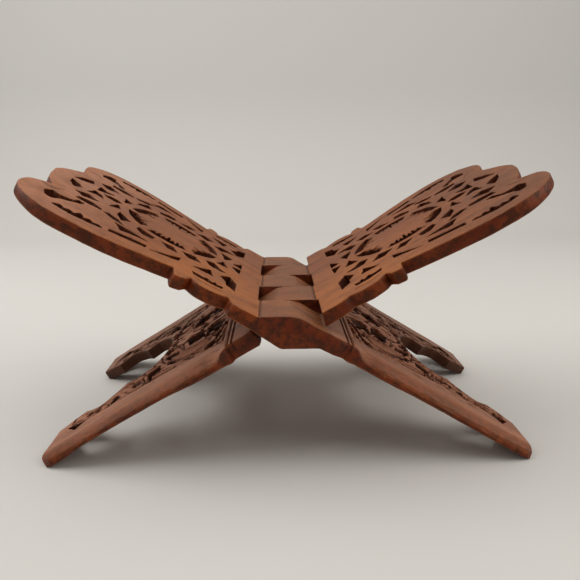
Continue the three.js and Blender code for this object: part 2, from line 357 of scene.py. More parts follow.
POCKETS = [
    [(-58, 10), (-52, 12), (-45, 18), (-42.5, 38), (-43, 60), (-46, 73), (-54, 75), (-58, 67), (-52, 61),
     (-50, 50), (-51, 42), (-55, 35), (-60, 40), (-63, 30), (-61, 18)],
    [(-96, 9), (-91, 14), (-89, 22), (-94, 25), (-98, 18)],
    [(-119, 51), (-112, 53), (-108, 60), (-115, 61)],
    [(-147, 60), (-140, 62), (-142, 66), (-150, 65)],
    [(-103, 66), (-92, 71), (-84, 73), (-96, 73)],
    [(-76, 64), (-66, 65), (-60, 70), (-72, 69)],
]
RIDGES = [
    [(-42.5, 14), (-47, 36), (-53, 56), (-60, 72)],
    [(-42.5, 40), (-46, 58), (-49, 76)],
    [(-43, 4), (-51, 11), (-60, 13), (-62, 28)],
]
GOUGES = [(-133, 76, 5.5, 1.6), (-108, 77, 4.5, 1.5), (-89, 81, 3.6, 2.2), (-120, 74, 4.0, 1.3)]
CARVING_DEPTH = 3.0
KNIFE_DEPTH = 2.3
KNIFE_HALF_WIDTH = 0.62
HATCH_DEPTH = 0.65
HATCH_PITCH = 2.6
GOUGE_DEPTH = 1.5
FIELD_START = 41.5


def flipped(points, side):
    return [(a, side * b) for a, b in points]


def leg_relief(s, v, arch_gap, cut, seed):
    """Height of the carving against the leg's plain face, 0 or less, in mm."""
    field_half = np.vstack([[(-166, 0)], spline(FIELD_EDGE), [(-FIELD_START, 79), (-FIELD_START, 0)]])
    field = inside_distance(mirrored(field_half), s, v)
    line = np.minimum(np.abs(field), cut + 0.4)
    pocket = np.full(S.shape, -FAR_OFF)
    ridge = np.full(S.shape, FAR_OFF)
    veins = np.zeros(S.shape)
    leaves = np.full(S.shape, -FAR_OFF)
    for side in (1, -1):
        for points in SMALL_LEAVES + [HATCHED_LEAF]:
            d = local_distance(spline(flipped(points, side), closed=True), s, v)
            line = np.minimum(line, np.abs(d))
            leaves = np.maximum(leaves, d)
            pitch = HATCH_PITCH if points is HATCHED_LEAF else 1.3 * HATCH_PITCH
            hatch = 0.5 + 0.5 * np.cos(2 * math.pi * (s + 0.35 * np.abs(v)) / pitch)
            veins = np.maximum(veins, hatch * ease(d, 0.6, 1.8))
        for points in KNIFE_LINES:
            line = np.minimum(line, line_distance(flipped(points, side), s, v))
        for points in POCKETS:
            d = local_distance(spline(flipped(points, side), closed=True), s, v)
            pocket = np.maximum(pocket, d)
        for points in RIDGES:
            ridge = np.minimum(ridge, line_distance(flipped(points, side), s, v))
    d = local_distance(spline(mirrored(CENTRAL_LEAF), closed=True), s, v, reach=20)
    line = np.minimum(line, np.abs(d))
    carved = KNIFE_DEPTH * np.exp(-(line / KNIFE_HALF_WIDTH) ** 2) + HATCH_DEPTH * veins
    chips = soft_noise(seed, 2.3, 3.4)
    facets = soft_noise(seed + 1, 3.2, 2.0)
    around = 1 - ease(leaves, -0.8, 0.2)
    carved = np.maximum(carved, KNIFE_DEPTH * ease(chips, 0.78, 1.02) * around)
    carved = carved + (0.3 + 0.35 * np.clip(facets, -1, 1)) * around
    carved = np.maximum(carved, CARVING_DEPTH * ease(pocket, -0.4, 0.9) * ease(ridge, 0.9, 1.9))
    carved = carved * ease(field, -0.9, 0.3) * ease(arch_gap, 0.8, 2.2)
    for gs, gv, length, width in GOUGES:
        d = np.hypot((s - gs) / length, (v - gv) / width)
        carved = np.maximum(carved, GOUGE_DEPTH * np.clip(1 - d ** 2, 0, 1))
    return -carved


# ---------------------------------------------------------------- engraving on the reading faces
CHISEL_MARKS = [[(2, 63), (-3, 69), (-10, 74), (-17, 76)], [(3, 68), (-2, 74), (-9, 79), (-16, 82)],
                [(2, 74), (-4, 80), (-11, 84)], [(0, 62.5), (-6, 66), (-14, 68)]]
PANEL_LINES = [[(47, 83.5), (56, 84.5), (65, 81.5)], [(166, 47), (172, 53), (178, 52)]]
SCRATCH_DEPTH = 0.5


def panel_engraving(s, v):
    """Depth of the shallow knife lines on the reading face and near knuckle, 0 or less, in mm."""
    lines = []
    for side in (1, -1):
        for points in PANEL_LINES:
            lines.append(line_distance(flipped(points, side), s, v))
    for points in CHISEL_MARKS:
        lines.append(line_distance(points, s, v))
    depth = np.zeros(S.shape)
    for d in lines:
        depth = np.minimum(depth, -SCRATCH_DEPTH * np.exp(-(d / 0.7) ** 2))
    return depth


# ---------------------------------------------------------------- one leaf's fields
def without_splinters(solid):
    """The solid region without loose bits inside the cuts: only what hangs together with the hub."""
    whole = solid > 0
    joined = np.zeros(solid.shape, bool)
    joined[np.searchsorted(S_AXIS, 30.0), np.searchsorted(V_AXIS, 0.0)] = True
    count = 0
    while count != joined.sum():
        count = joined.sum()
        grown = joined.copy()
        grown[1:] |= joined[:-1]
        grown[:-1] |= joined[1:]
        grown[:, 1:] |= joined[:, :-1]
        grown[:, :-1] |= joined[:, 1:]
        joined = grown & whole
    return np.where(whole & ~joined, -0.1, solid)


HAND_WANDER = 0.35
KNIFE_WANDER = 0.15
CUT_EXTRA = 0.12


def leaf_fields(name, seed):
    """Everything about one leaf that is drawn over the grid: distances, heights and unevenness."""
    calm = ease(np.abs(S), 32, 46)
    s = S + HAND_WANDER * calm * soft_noise(seed, 26)
    v = V + HAND_WANDER * calm * soft_noise(seed + 1, 26)
    outline = inside_distance(leaf_outline(name), s, v)
    arch_gap = -inside_distance(leg_arch(), s, v)
    outer = np.minimum(outline, arch_gap)
    knife = KNIFE_WANDER * calm * soft_noise(seed + 2, 3.0)
    cut = np.full(S.shape, FAR_OFF)
    for shape in all_cuts(NEAR_SIDE[name]):
        cut = np.minimum(cut, -local_distance(shape, s, v))
    cut = cut - CUT_EXTRA + knife
    window = np.full(S.shape, FAR_OFF)
    other = OWN_BANDS["leaf_b" if name == "leaf_a" else "leaf_a"]
    for low, high in other:
        away_s = np.maximum(LEG_EDGE_BOTTOM - S, S - PANEL_EDGE_TOP)
        away_v = np.maximum(low - KNUCKLE_GAP - V, V - high - KNUCKLE_GAP)
        window = np.minimum(window, np.maximum(away_s, away_v))
    side = np.interp(s, LEG_SIDE_S, LEG_SIDE_V) - np.abs(v)
    return {
        "side": side,
        "solid": without_splinters(np.minimum(np.minimum(outer, cut), window)),
        "near_side": NEAR_SIDE[name],
        "thinned": LEG_THINNED[name],
        "outer": outer,
        "arch_gap": arch_gap,
        "cut": cut,
        "window": window,
        "relief": leg_relief(s, v, arch_gap, cut, seed + 5),
        "engraving": panel_engraving(s, v),
        "wave": soft_noise(seed + 3, 45),
        "dent": soft_noise(seed + 4, 9),
    }


# ---------------------------------------------------------------- the faces' heights
# Profiles are (s, n). OWN is in line with the leaf's knuckles and BESIDE in line with the other leaf's.
# CORNER is cut back where a knuckle meets the leg's inner edge, so that the folded leaves clear.
SCOOPED_CREST = [(-20, 11.5), (-13, 11.1), (-8, 11.1), (-5, 11.2), (-2, 11.0), (1, 10.4), (4, 9.4),
                 (7, 7.93)]
SHARP_CREST = [(-20, 11.6), (-8, 11.6), (-4, 11.75), (-1.5, 11.6), (0, 11.2), (1.5, 10.6), (3, 10.1)]
TOP_START = [(-176.5, 8.8), (-44, 11.6), (-30, 11.6)]
TOP_END = [(KNUCKLE_POINT, 0), (PANEL_EDGE_TOP, READING_N), (192, READING_N)]
TOP_BESIDE = [(-176.5, 8.8), (-44, 11.6), (-30, 11.7), (-18, 11.9)]
LEG_UNDERSIDE = [(-180, 0.3), (-110, 0.4), (-60, 0.4), (-34, 0.6)]
BOTTOM_OWN = LEG_UNDERSIDE + [(-KNUCKLE_POINT, 0), (-1.5, -11.13), (-0.5, -11.55),
              (0.6, -11.75), (2, -11.75), (20, -10.3), (34, PANEL_OUTER_N), (192, PANEL_OUTER_N)]
BOTTOM_BESIDE = LEG_UNDERSIDE + [(-24, 0.6), (-21.2, 0.6), (-18, 2.8)]
CORNER_WIDTH = 0.75
CORNER_START = 17.9
SCOOP_START = 60

GROOVES = [34.5, 38.0]
GROOVE_DEPTH = 1.4
GROOVE_HALF_WIDTH = 0.62
HUB_LINE_DEPTH = 0.8
HUB_LINE_HALF_WIDTH = 0.5
THINNEST = 0.4

# Rounded edges: (how far in from the edge, how far down).
NEAR_LEG_ROUND = (13.0, 8.2)
NEAR_FOOT_ROUND = (11.0, 6.0)
FAR_LEG_ROUND = (13.0, 3.2)
NEAR_LEG_UNDER = (5.0, 2.4)
LEG_EDGE = (1.0, 0.7)
LEG_EDGE_UNDER = (0.8, 0.5)
TOE_EDGE = (2.5, 1.3)
PANEL_EDGE = (1.0, 0.6)
PANEL_EDGE_UNDER = (1.4, 1.2)
LOBE_UNDER = (6.0, 3.0)
HUB_EDGE = (0.7, 0.4)
CUT_EDGE = (0.5, 0.2)


def profile(points, s):
    x, y = zip(*points)
    return np.interp(s, x, y)


def plain_faces(s, v, near, own):
    """Heights of the top and bottom before any carving or rounding."""
    leg = s < 0
    top_beside = np.where(leg, profile(TOP_BESIDE, s), READING_N)
    bottom_beside = np.where(leg, profile(BOTTOM_BESIDE, s), PANEL_OUTER_N)
    top_own = np.where(near > SCOOP_START, profile(TOP_START + SCOOPED_CREST + TOP_END, s),
                       profile(TOP_START + SHARP_CREST + TOP_END, s))
    top = np.where(own, top_own, top_beside)
    bottom = np.where(own, profile(BOTTOM_OWN, s), bottom_beside)
    border = np.min([np.abs(np.abs(v) - edge) for edge in KNUCKLE_BORDERS], axis=0)
    corner = own & (border < CORNER_WIDTH) & (s < -CORNER_START)
    return top, np.where(corner, np.maximum(bottom, bottom_beside), bottom)


def top_rounding(s, side, outer, near, fullness, on_leg, on_panel, near_hub):
    """How far the top drops near the edges. The near side of the leg is a full half round."""
    bull_nose = (1 - fullness) * rounding(side, *NEAR_LEG_ROUND)
    bull_nose = bull_nose + fullness * rounding(side, *NEAR_FOOT_ROUND)
    leg = np.where(near > 0, bull_nose, rounding(side, *FAR_LEG_ROUND))
    leg = np.maximum(leg, rounding(outer, *LEG_EDGE))
    leg = np.maximum(leg, ease(-s, 168, 174) * rounding(outer, *TOE_EDGE))
    begun = ease(-s, 39, 50)
    leg = leg * begun + rounding(outer, *LEG_EDGE) * (1 - begun)
    return on_leg * leg + on_panel * rounding(outer, *PANEL_EDGE) + near_hub * rounding(outer, *HUB_EDGE)


def faces_at(fields, s, v, own):
    """Heights n of the two faces at points (s, v), and how deep the carving is there."""
    side, outer, cut, window = (sample(fields[k], s, v) for k in ("side", "outer", "cut", "window"))
    wave, dent = sample(fields["wave"], s, v), sample(fields["dent"], s, v)
    near = v * fields["near_side"]
    top, bottom = plain_faces(s, v, near, own)

    on_leg = ease(-s, 38, 46)
    on_panel = ease(s, 23, 30)
    near_hub = 1 - np.maximum(on_leg, on_panel)
    relief = sample(fields["relief"], s, v) * ease(-s, 41, 42.5)
    engraving = sample(fields["engraving"], s, v)
    grooves = np.zeros(s.shape)
    for at in GROOVES:
        grooves = np.maximum(grooves, GROOVE_DEPTH * np.exp(-((s + at) / GROOVE_HALF_WIDTH) ** 4))
    hub_line = HUB_LINE_DEPTH * np.exp(-((s - KNUCKLE_POINT) / HUB_LINE_HALF_WIDTH) ** 2) * own
    top = top + relief + engraving - grooves - hub_line
    top = top - 0.10 * np.abs(wave) * (1 - near_hub) - 0.05 * np.abs(dent)
    bottom = bottom + 0.15 * np.abs(wave) * (1 - near_hub) + 0.05 * np.abs(dent)

    thick = top - bottom
    fullness = ease(-s, 125, 168)
    rounded = top_rounding(s, side, outer, near, fullness, on_leg, on_panel, near_hub)
    top = top - np.minimum(rounded, 0.8 * thick)
    top = top - rounding(np.minimum(cut, window), *CUT_EDGE)
    bottom = bottom + rounding(np.minimum(cut, window), *CUT_EDGE)
    bottom = (bottom + rounding(outer, *PANEL_EDGE_UNDER) * (1 - on_leg)
              + on_leg * rounding(outer, *LEG_EDGE_UNDER))
    bottom = bottom + ease(s, 160, 180) * rounding(outer, *LOBE_UNDER)
    bottom = bottom + on_leg * (near > 0) * (1 - 0.6 * fullness) * rounding(side, *NEAR_LEG_UNDER)
    middle = ease(-s, 62, 95) * (1 - ease(-s, 148, 170))
    bottom = bottom + (near > 0) * middle * fields["thinned"] * ease(side, 30.0, 0.0)
    table = (-HINGE_HEIGHT - s * math.sin(LEAN)) / math.cos(LEAN)
    bottom = np.maximum(bottom, table)
    top = np.maximum(top, bottom + THINNEST)

    depth = ease(-relief, 1.15, 1.9) + 0.7 * np.clip(grooves / GROOVE_DEPTH, 0, 1)
    depth = depth + 0.7 * np.clip(-engraving / SCRATCH_DEPTH, 0, 1) + 1.2 * hub_line
    return top, bottom, np.clip(depth, 0, 1)


# ---------------------------------------------------------------- mesh
# A grid cell has corners a, b, c, d in turn, with ab, bc, cd and da on its sides. Its case number adds
# 1, 2, 4 and 8 for the corners that are solid, and the lists are the polygons that cover its solid part.
CELL_CASES = {
    1: [["a", "ab", "da"]],
    2: [["b", "bc", "ab"]],
    3: [["a", "b", "bc", "da"]],
    4: [["c", "cd", "bc"]],
    5: [["a", "ab", "da"], ["c", "cd", "bc"]],
    6: [["b", "c", "cd", "ab"]],
    7: [["a", "b", "c", "cd", "da"]],
    8: [["d", "da", "cd"]],
    9: [["d", "a", "ab", "cd"]],
    10: [["b", "bc", "ab"], ["d", "da", "cd"]],
    11: [["d", "a", "b", "bc", "cd"]],
    12: [["c", "d", "da", "bc"]],
    13: [["c", "d", "a", "ab", "bc"]],
    14: [["b", "c", "d", "da", "ab"]],
    15: [["a", "b", "c", "d"]],
}


def crossings(solid, count, axis, own):
    """Points where the edge of the solid crosses grid lines along one axis."""
    here, there = (solid[:-1], solid[1:]) if axis == 0 else (solid[:, :-1], solid[:, 1:])
    i, j = np.nonzero((here > 0) != (there > 0))
    t = here[i, j] / (here[i, j] - there[i, j])
    t = np.clip(t, 0.03, 0.97)
    s = S_AXIS[i] + (t * STEP if axis == 0 else 0)
    v = V_AXIS[j] + (t * STEP if axis == 1 else 0)
    ids = np.full(here.shape, -1)
    ids[i, j] = count + np.arange(len(i))
    inner_i = np.where(here[i, j] > 0, i, i + (axis == 0))
    inner_j = np.where(here[i, j] > 0, j, j + (axis == 1))
    return s, v, ids, own[inner_i, inner_j]


def traced(solid, own):
    """Points and faces that cover the solid region, and its edge segments."""
    i, j = np.nonzero(solid > 0)
    nodes = np.full(solid.shape, -1)
    nodes[i, j] = np.arange(len(i))
    s1, v1, along_s, own1 = crossings(solid, len(i), 0, own)
    s2, v2, along_v, own2 = crossings(solid, len(i) + len(s1), 1, own)
    s = np.concatenate([S_AXIS[i], s1, s2])
    v = np.concatenate([V_AXIS[j], v1, v2])
    mine = np.concatenate([own[i, j], own1, own2])
    corner = {
        "a": nodes[:-1, :-1], "b": nodes[1:, :-1], "c": nodes[1:, 1:], "d": nodes[:-1, 1:],
        "ab": along_s[:, :-1], "cd": along_s[:, 1:], "bc": along_v[1:], "da": along_v[:-1],
    }
    full = (solid > 0).astype(int)
    case = full[:-1, :-1] + 2 * full[1:, :-1] + 4 * full[1:, 1:] + 8 * full[:-1, 1:]
    faces, edges = [], []
    for number, polygons in CELL_CASES.items():
        ci, cj = np.nonzero(case == number)
        for names in polygons:
            ids = np.stack([corner[n][ci, cj] for n in names], axis=1)
            faces.append(ids)
            for k, n in enumerate(names):
                after = names[(k + 1) % len(names)]
                if len(n) == 2 and len(after) == 2:
                    edges.append(np.stack([ids[:, k], ids[:, (k + 1) % len(names)]], axis=1))
    return s, v, mine, faces, np.vstack(edges)


def own_mask(name):
    """Where the plank's full thickness belongs to this leaf at the hub: its knuckles' bands."""
    mask = np.zeros(S.shape, bool)
    for low, high in OWN_BANDS[name]:
        mask |= (V >= low) & (V <= high)
    return mask


def end_shear(s, n, own):
    """Slants the ends of panel and leg at the other leaf's knuckles, as their stop faces need."""
    lean_panel = (PANEL_EDGE_TOP - PANEL_EDGE_BOTTOM) / (READING_N - PANEL_OUTER_N)
    lean_leg = (LEG_EDGE_BOTTOM - LEG_EDGE_TOP) / (HALF_PLANK - LEG_INNER_HUB)
    panel = lean_panel * (n - READING_N) * (1 - ease(s, PANEL_EDGE_TOP, 34))
    leg = -lean_leg * (n - LEG_INNER_HUB) * (1 - ease(-s, -LEG_EDGE_BOTTOM, 32))
    return np.where(own, 0, np.where(s > 0, panel, leg))


def warp(name, s, v, n):
    """The old stand's panels have twisted a little: their near edges down, their far edges up."""
    near = v * NEAR_SIDE[name]
    twist = TWIST[name]
    n = n - twist["near_edge"] * ease(s, 25, 90) * np.clip((near - 20) / 80, 0, 1) ** 1.3
    n = n - twist["near_lobe"] * ease(s, 130, 185) * ease(near, 15, 75)
    return n + twist["far_edge"] * ease(s, 40, 150) * np.clip(-near / 90, 0, 1)


def leaf_mesh(name, fields):
    """The leaf as one closed mesh in its plank frame, in mm: top, bottom, and walls between them."""
    own = own_mask(name)
    s, v, mine, faces, edges = traced(fields["solid"], own)
    top, bottom, _ = faces_at(fields, s, v, mine)
    count = len(s)
    across = np.clip(v, -HUB_HALF["leaf_a"], HUB_HALF["leaf_a"])
    points = np.concatenate([
        np.stack([s + end_shear(s, n, mine), across, warp(name, s, v, n)], axis=1) for n in (top, bottom)
    ])
    loops = []
    for ids in faces:
        loops += ids.tolist()
        loops += (ids[:, ::-1] + count).tolist()
    p, q = edges[:, 0], edges[:, 1]
    loops += np.stack([q, p, p + count, q + count], axis=1).tolist()
    mesh = bpy.data.meshes.new(name + "_carved")
    mesh.from_pydata(points.tolist(), [], loops)
    return mesh


def simplified(obj):
    """The object's mesh with fewer faces where it is flat."""
    thin = obj.modifiers.new("thin", "DECIMATE")
    thin.ratio = FACES_KEPT
    graph = bpy.context.evaluated_depsgraph_get()
    mesh = bpy.data.meshes.new_from_object(obj.evaluated_get(graph))
    obj.modifiers.clear()
    old, obj.data = obj.data, mesh
    bpy.data.meshes.remove(old)


def store(mesh, name, values):
    """Keeps one number for each of the mesh's points, for the material to read."""
    layer = mesh.attributes.new(name, "FLOAT", "POINT")
    layer.data.foreach_set("value", np.asarray(values, np.float32))


def mark_surface(name, mesh, fields):
    """Stores what the material needs to know at each point, each from 0 to 1:

    carved: in a recess of the relief. pierced: on the wall of a cut. worn: lighter gold, a painted
    highlight over the panel's near half by the hub, and wear along the outer edges. dulled: the knuckles.
    faded: the panel's lobes, painted light on leaf A and painted shade on leaf B. aged: the leg's outer
    face, paler from a painted sheen and from wear. rubbed: painted shade down the near rounded edge of
    the leg. shaded: painted shade on the far side of the leg and on the arch's wall.
    """
    co = np.zeros(len(mesh.vertices) * 3, np.float32)
    mesh.vertices.foreach_get("co", co)
    s, v, n = co.reshape(-1, 3).T
    own = sample(own_mask(name).astype(float), s, v) > 0.5
    _, _, depth = faces_at(fields, s, v, own)
    near = v * NEAR_SIDE[name]
    outer, cut, side, arch_gap = (sample(fields[k], s, v) for k in ("outer", "cut", "side", "arch_gap"))
    middle = np.interp(s, [-34, 20], [6, -5.3])
    store(mesh, "carved", depth * (n > middle))
    store(mesh, "pierced", 1 - ease(cut, 0.2, 1.6))
    # Lighter gold: a painted highlight over the panel's near half by the hub, and wear along its outer
    # edges.
    highlight_and_wear_mask = np.exp(-((s - 52) / 46) ** 2) * ease(near, -45, 60) + 0.35 * ease(outer, 9.0, 1.0)
    store(mesh, "highlight_and_wear", np.clip(highlight_and_wear_mask, 0, 1) * (s > 21))
    store(mesh, "dulled", ease(s, 21.5, 19.5) * ease(s, -30, -22))
    # Painted light on leaf A's lobes and painted shade on leaf B's, through each leaf's lobe colour.
    store(mesh, "lobe_light_and_shade", 0.8 * ease(s, 100, 170))
    # A paler tone on the leg's outer face: a painted sheen, with wear.
    store(mesh, "sheen_and_wear", ease(-s, 19, 26) * (n > middle))
    # Painted shade down the near rounded edge of the leg, from its middle to the wall.
    store(mesh, "painted_band_shade", ease(side, 11.0, 3.5) * (near > 0) * ease(-s, 46, 56))
    # Painted shade on the far side of the leg and on the arch's wall.
    painted_shade = ease(-near, 10, 55) * ease(-s, 60, 90)
    arch = (1 - ease(arch_gap, 0.3, 2.0)) * (s < -60)
    store(mesh, "painted_shade", np.clip(0.75 * painted_shade + arch, 0, 1))


def plank_frame(name):
    """The plank frame's place in the row frame: leaf B rises to +X, leaf A to -X."""
    c, s = math.cos(LEAN), math.sin(LEAN)
    turn = Matrix(((c, 0, -s), (0, 1, 0), (s, 0, c))).to_4x4()
    if name == "leaf_a":
        turn = Matrix.Rotation(math.pi, 4, "Z") @ turn
    return Matrix.Translation((0, 0, HINGE_HEIGHT * MM)) @ turn


def carved_leaf(name, seed, material):
    """Makes one leaf, which rides on its body and stands for its CAD node."""
    fields = leaf_fields(name, seed)
    obj = bpy.data.objects.new(name + "_carved", leaf_mesh(name, fields))
    bpy.context.scene.collection.objects.link(obj)
    simplified(obj)
    mark_surface(name, obj.data, fields)
    obj.data.materials.clear()
    obj.data.materials.append(material)
    obj.data.shade_smooth()
    obj.data.set_sharp_from_angle(angle=SHARP_ANGLE)
    obj.data.transform(plank_frame(name) @ Matrix.Scale(MM, 4))
    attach(obj, name)
    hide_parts(name)
    return obj


# ---------------------------------------------------------------- wood
def linear(red, green, blue):
    """A colour given as 0-255 sRGB values."""
    out = []
    for c in (red, green, blue):
        c /= 255
        out.append(c / 12.92 if c <= 0.04045 else ((c + 0.055) / 1.055) ** 2.4)
    return (*out, 1.0)


class Shader:
    """Short names for building one material's nodes."""

    def __init__(self, name):
        self.material = bpy.data.materials.new(name)
        self.material.use_nodes = True
        self.tree = self.material.node_tree
        self.tree.nodes.clear()

    def node(self, kind, **settings):
        made = self.tree.nodes.new(kind)
        for key, value in settings.items():
            setattr(made, key, value)
        return made

    def link(self, source, target):
        self.tree.links.new(source, target)

    def noise(self, coords, scale, detail=4.0, roughness=0.55, distortion=0.0):
        """Noise whose cells per metre along s, v and n are given by scale."""
        mapping = self.node("ShaderNodeMapping")
        mapping.inputs["Scale"].default_value = scale
        self.link(coords, mapping.inputs["Vector"])
        noise = self.node("ShaderNodeTexNoise")
        noise.inputs["Scale"].default_value = 1.0
        noise.inputs["Detail"].default_value = detail
        noise.inputs["Roughness"].default_value = roughness
        noise.inputs["Distortion"].default_value = distortion
        self.link(mapping.outputs["Vector"], noise.inputs["Vector"])
        return noise.outputs["Fac"]

    def spread(self, value, low, high, to_low=0.0, to_high=1.0):
        """value from low..high carried to to_low..to_high, held at the ends."""
        made = self.node("ShaderNodeMapRange", interpolation_type="SMOOTHSTEP")
        self.link(value, made.inputs["Value"])
        for key, x in (("From Min", low), ("From Max", high), ("To Min", to_low), ("To Max", to_high)):
            made.inputs[key].default_value = x
        return made.outputs["Result"]

    def math(self, operation, a, b=0.0):
        made = self.node("ShaderNodeMath", operation=operation)
        for socket, x in zip(made.inputs, (a, b)):
            if isinstance(x, (int, float)):
                socket.default_value = x
            else:
                self.link(x, socket)
        return made.outputs[0]

    def mix(self, factor, a, b, blend="MIX"):
        made = self.node("ShaderNodeMix", data_type="RGBA", blend_type=blend)
        for socket, x in zip((made.inputs[0], made.inputs[6], made.inputs[7]), (factor, a, b)):
            if isinstance(x, (int, float, tuple)):
                socket.default_value = x
            else:
                self.link(x, socket)
        return made.outputs[2]

    def attribute(self, name):
        made = self.node("ShaderNodeAttribute", attribute_type="GEOMETRY", attribute_name=name)
        return made.outputs["Fac"]


# The gold is partly a painted highlight, the pale pink after the dull brown partly a painted sheen, and
# the two dark browns after that are painted shade.
GOLD = linear(178, 106, 46)
DULL = linear(108, 72, 52)
SHEEN_AND_WEAR = linear(172, 118, 92)
PAINTED_SHADE = linear(78, 54, 42)
PAINTED_SHADE_SIDE = linear(58, 38, 26)
PORE = linear(40, 15, 7)
STAIN = linear(120, 48, 13)
STAIN_DARK = linear(48, 13, 4)
RECESS = linear(34, 14, 7)
CUT_WALL = linear(52, 21, 9)
# Cells per metre along s, v and n.
FIGURE_SCALE = (7, 70, 60)
FIBRE_SCALE = (38, 900, 700)
PORE_SCALE = (150, 1900, 1500)
BLOTCH_SCALE = (45, 60, 60)
SCUFF_SCALE = (420, 420, 420)
MOTTLE_SCALE = (170, 190, 190)


def plank_coordinates(sh, leaf, offset):
    """The point in the leaf's plank frame, in metres, and the surface's direction in that frame."""
    where = sh.node("ShaderNodeTexCoord")
    to_plank = plank_frame(leaf).inverted()
    turn = to_plank.to_euler("XYZ")
    place = sh.node("ShaderNodeMapping", vector_type="POINT")
    place.inputs["Location"].default_value = to_plank.translation + Vector(offset)
    place.inputs["Rotation"].default_value = turn
    sh.link(where.outputs["Object"], place.inputs["Vector"])
    facing = sh.node("ShaderNodeMapping", vector_type="VECTOR")
    facing.inputs["Rotation"].default_value = turn
    sh.link(where.outputs["Normal"], facing.inputs["Vector"])
    return place.outputs[0], facing.outputs[0]


def face_colour(sh, grain, light, dark, side, lobe_light_and_shade):
    """Colour of the broad faces: grain, then gold of painted highlight and wear, dull knuckles, painted
    light and shade on the lobes, a paler painted sheen with wear on the leg, painted shade, pores.
    """
    blotch = grain["blotch"]
    tone = sh.math("ADD", sh.math("MULTIPLY", grain["figure"], 0.40),
                   sh.math("MULTIPLY", grain["fibre"], 0.60))
    colour = sh.mix(sh.spread(tone, 0.39, 0.61), dark, light)
    colour = sh.mix(sh.spread(blotch, 0.45, 0.80, 0, 0.40), colour, side)
    # Gold: partly a painted highlight near the hub, partly wear on the outer edges.
    gold = sh.math("MULTIPLY", sh.attribute("highlight_and_wear"), sh.spread(blotch, 0.35, 0.62, 0.35, 1.0))
    colour = sh.mix(sh.math("MULTIPLY", gold, 0.55), colour, GOLD)
    patchy = sh.spread(blotch, 0.36, 0.60, 0.27, 0.6)
    colour = sh.mix(sh.math("MULTIPLY", sh.attribute("dulled"), patchy), colour, DULL)
    # The lobes: painted light on leaf A, painted shade on leaf B.
    colour = sh.mix(sh.math("MULTIPLY", sh.attribute("lobe_light_and_shade"), patchy), colour, lobe_light_and_shade)
    # The leg's outer face made paler: a painted sheen, with wear.
    sheen_and_wear = sh.math("MULTIPLY", sh.attribute("sheen_and_wear"), sh.spread(grain["figure"], 0.40, 0.60, 0.55, 1.0))
    colour = sh.mix(sh.math("MULTIPLY", sheen_and_wear, 0.78), colour, SHEEN_AND_WEAR)
    # Painted shade on the leg's far side and the arch's wall.
    colour = sh.mix(sh.math("MULTIPLY", sh.attribute("painted_shade"), 0.7), colour, PAINTED_SHADE)
    return sh.mix(grain["pore"], colour, PORE)


def edge_colour(sh, grain, facing, colour, side):
    """The same with its upright edges in red-brown stain, partly painted shade where it reaches up the
    leg's rounded edge, and darker recesses and cut walls.
    """
    split = sh.node("ShaderNodeSeparateXYZ")
    sh.link(facing, split.inputs[0])
    # Faces tilted from the plank's face take the side colour: on flat walls it is the stain of the sides,
    # on the leg's rounded edge it is also painted shade.
    upright = sh.spread(sh.math("ABSOLUTE", split.outputs[2]), 0.20, 0.88, 1, 0)
    stain_and_shade = sh.mix(sh.spread(grain["blotch"], 0.36, 0.64), STAIN, side)
    stain_and_shade = sh.mix(sh.spread(grain["mottle"], 0.40, 0.62, 0, 0.85), stain_and_shade, STAIN_DARK)
    # Painted shade on the side faces of the leg's far side and the arch.
    stain_and_shade = sh.mix(sh.math("MULTIPLY", sh.attribute("painted_shade"), 0.75), stain_and_shade, PAINTED_SHADE_SIDE)
    # Painted shade down the near rounded edge of the leg, in the side colour.
    upright = sh.math("MAXIMUM", upright, sh.math("MULTIPLY", sh.attribute("painted_band_shade"), 0.62))
    colour = sh.mix(sh.math("MULTIPLY", upright, 0.92), colour, stain_and_shade)
    colour = sh.mix(sh.math("MULTIPLY", sh.attribute("carved"), 0.9), colour, RECESS)
    inside_cut = sh.math("MULTIPLY", sh.attribute("pierced"), upright)
    return sh.mix(sh.math("MULTIPLY", inside_cut, 0.65), colour, CUT_WALL)


def grain_bump(sh, grain):
    """Fine grain, pores and scuffs, too small to model."""
    relief = sh.math("ADD", sh.math("MULTIPLY", grain["fibre"], 0.5),
                     sh.math("MULTIPLY", grain["pore"], -0.6))
    relief = sh.math("ADD", relief, sh.math("MULTIPLY", grain["scuff"], 0.25))
    bump = sh.node("ShaderNodeBump")
    bump.inputs["Strength"].default_value = 0.8
    bump.inputs["Distance"].default_value = 0.0004
    sh.link(relief, bump.inputs["Height"])
    return bump.outputs["Normal"]


